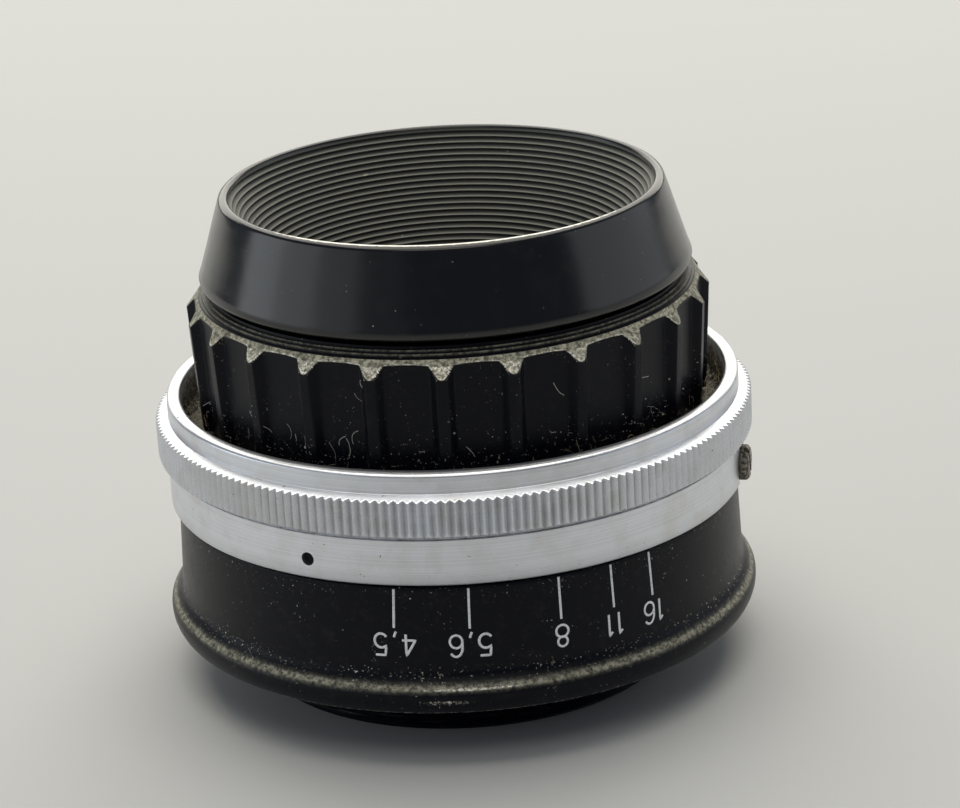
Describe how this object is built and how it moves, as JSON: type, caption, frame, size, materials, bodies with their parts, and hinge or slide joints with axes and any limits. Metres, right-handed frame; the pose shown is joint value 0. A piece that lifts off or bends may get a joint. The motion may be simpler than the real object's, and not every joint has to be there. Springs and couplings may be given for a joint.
{
  "type": "enlarger lens",
  "caption": "Darkroom enlarger lens with a conical hood, fluted grip ring, knurled aperture ring, engraved stop scale, working iris and a screw mount.",
  "frame": {"origin": "centre of the mount thread's rear face, the lowest point of the lens as it stands", "axes": "+Z along the optical axis towards the hood, -Y towards the middle of the stop scale"},
  "size_m": [0.054, 0.054, 0.0445],
  "materials": {
    "black_mount": "satin black anodised",
    "black_skirt": "satin black lacquer, white filled engraving",
    "black_grip": "satin black lacquer worn to grey on the edges",
    "black_hood": "gloss black lacquer",
    "black_inner": "matt black",
    "bare_aluminium": "turned, natural",
    "screw_steel": "dull steel",
    "brass": "turned",
    "leaf_steel": "blued spring steel",
    "coated_glass": "polished, single coated"
  },
  "bodies": {
    "lens_barrel": {"mount_flange": "black_mount", "scale_skirt": "black_skirt", "main_barrel": "black_inner", "iris_pivot_plate": "black_inner", "cam_retaining_ring": "brass", "front_cell": "black_grip", "front_hood": "black_hood", "front_lens": "coated_glass", "front_lens_retainer": "black_inner", "middle_lens": "coated_glass", "middle_lens_retainer": "black_inner", "rear_cell": "black_inner", "rear_doublet_front_element": "coated_glass", "rear_doublet_rear_element": "coated_glass", "rear_lens_retainer": "brass"},
    "aperture_control": {"aperture_ring": "bare_aluminium", "drive_screw": "screw_steel", "iris_cam_ring": "brass"},
    "iris_leaf_01": {"iris_leaf_01": "leaf_steel"},
    "iris_leaf_02": {"iris_leaf_02": "leaf_steel"},
    "iris_leaf_03": {"iris_leaf_03": "leaf_steel"},
    "iris_leaf_04": {"iris_leaf_04": "leaf_steel"},
    "iris_leaf_05": {"iris_leaf_05": "leaf_steel"},
    "iris_leaf_06": {"iris_leaf_06": "leaf_steel"},
    "iris_leaf_07": {"iris_leaf_07": "leaf_steel"},
    "iris_leaf_08": {"iris_leaf_08": "leaf_steel"},
    "iris_leaf_09": {"iris_leaf_09": "leaf_steel"},
    "iris_leaf_10": {"iris_leaf_10": "leaf_steel"}
  },
  "joints": [
    {"name": "aperture_turn", "type": "hinge", "parent": "lens_barrel", "child": "aperture_control", "pos_m": [0, 0, 0.0184], "axis": [0, 0, 1], "range_deg": [0, 69.4]},
    {"name": "iris_leaf_01_swing", "type": "hinge", "parent": "lens_barrel", "child": "iris_leaf_01", "pos_m": [0.0136, 0, 0.01475], "axis": [0, 0, 1], "range_deg": [0, 34.3]},
    {"name": "iris_leaf_02_swing", "type": "hinge", "parent": "lens_barrel", "child": "iris_leaf_02", "pos_m": [0.011, 0.00799, 0.01475], "axis": [0, 0, 1], "range_deg": [0, 34.3]},
    {"name": "iris_leaf_03_swing", "type": "hinge", "parent": "lens_barrel", "child": "iris_leaf_03", "pos_m": [0.0042, 0.01293, 0.01475], "axis": [0, 0, 1], "range_deg": [0, 34.3]},
    {"name": "iris_leaf_04_swing", "type": "hinge", "parent": "lens_barrel", "child": "iris_leaf_04", "pos_m": [-0.0042, 0.01293, 0.01475], "axis": [0, 0, 1], "range_deg": [0, 34.3]},
    {"name": "iris_leaf_05_swing", "type": "hinge", "parent": "lens_barrel", "child": "iris_leaf_05", "pos_m": [-0.011, 0.00799, 0.01475], "axis": [0, 0, 1], "range_deg": [0, 34.3]},
    {"name": "iris_leaf_06_swing", "type": "hinge", "parent": "lens_barrel", "child": "iris_leaf_06", "pos_m": [-0.0136, 0, 0.01475], "axis": [0, 0, 1], "range_deg": [0, 34.3]},
    {"name": "iris_leaf_07_swing", "type": "hinge", "parent": "lens_barrel", "child": "iris_leaf_07", "pos_m": [-0.011, -0.00799, 0.01475], "axis": [0, 0, 1], "range_deg": [0, 34.3]},
    {"name": "iris_leaf_08_swing", "type": "hinge", "parent": "lens_barrel", "child": "iris_leaf_08", "pos_m": [-0.0042, -0.01293, 0.01475], "axis": [0, 0, 1], "range_deg": [0, 34.3]},
    {"name": "iris_leaf_09_swing", "type": "hinge", "parent": "lens_barrel", "child": "iris_leaf_09", "pos_m": [0.0042, -0.01293, 0.01475], "axis": [0, 0, 1], "range_deg": [0, 34.3]},
    {"name": "iris_leaf_10_swing", "type": "hinge", "parent": "lens_barrel", "child": "iris_leaf_10", "pos_m": [0.011, -0.00799, 0.01475], "axis": [0, 0, 1], "range_deg": [0, 34.3]}
  ],
  "couplings": [
    {"joint": "iris_leaf_01_swing", "follows": "aperture_turn", "ratio": 0.4928},
    {"joint": "iris_leaf_02_swing", "follows": "aperture_turn", "ratio": 0.4928},
    {"joint": "iris_leaf_03_swing", "follows": "aperture_turn", "ratio": 0.4928},
    {"joint": "iris_leaf_04_swing", "follows": "aperture_turn", "ratio": 0.4928},
    {"joint": "iris_leaf_05_swing", "follows": "aperture_turn", "ratio": 0.4928},
    {"joint": "iris_leaf_06_swing", "follows": "aperture_turn", "ratio": 0.4928},
    {"joint": "iris_leaf_07_swing", "follows": "aperture_turn", "ratio": 0.4928},
    {"joint": "iris_leaf_08_swing", "follows": "aperture_turn", "ratio": 0.4928},
    {"joint": "iris_leaf_09_swing", "follows": "aperture_turn", "ratio": 0.4928},
    {"joint": "iris_leaf_10_swing", "follows": "aperture_turn", "ratio": 0.4928}
  ]
}
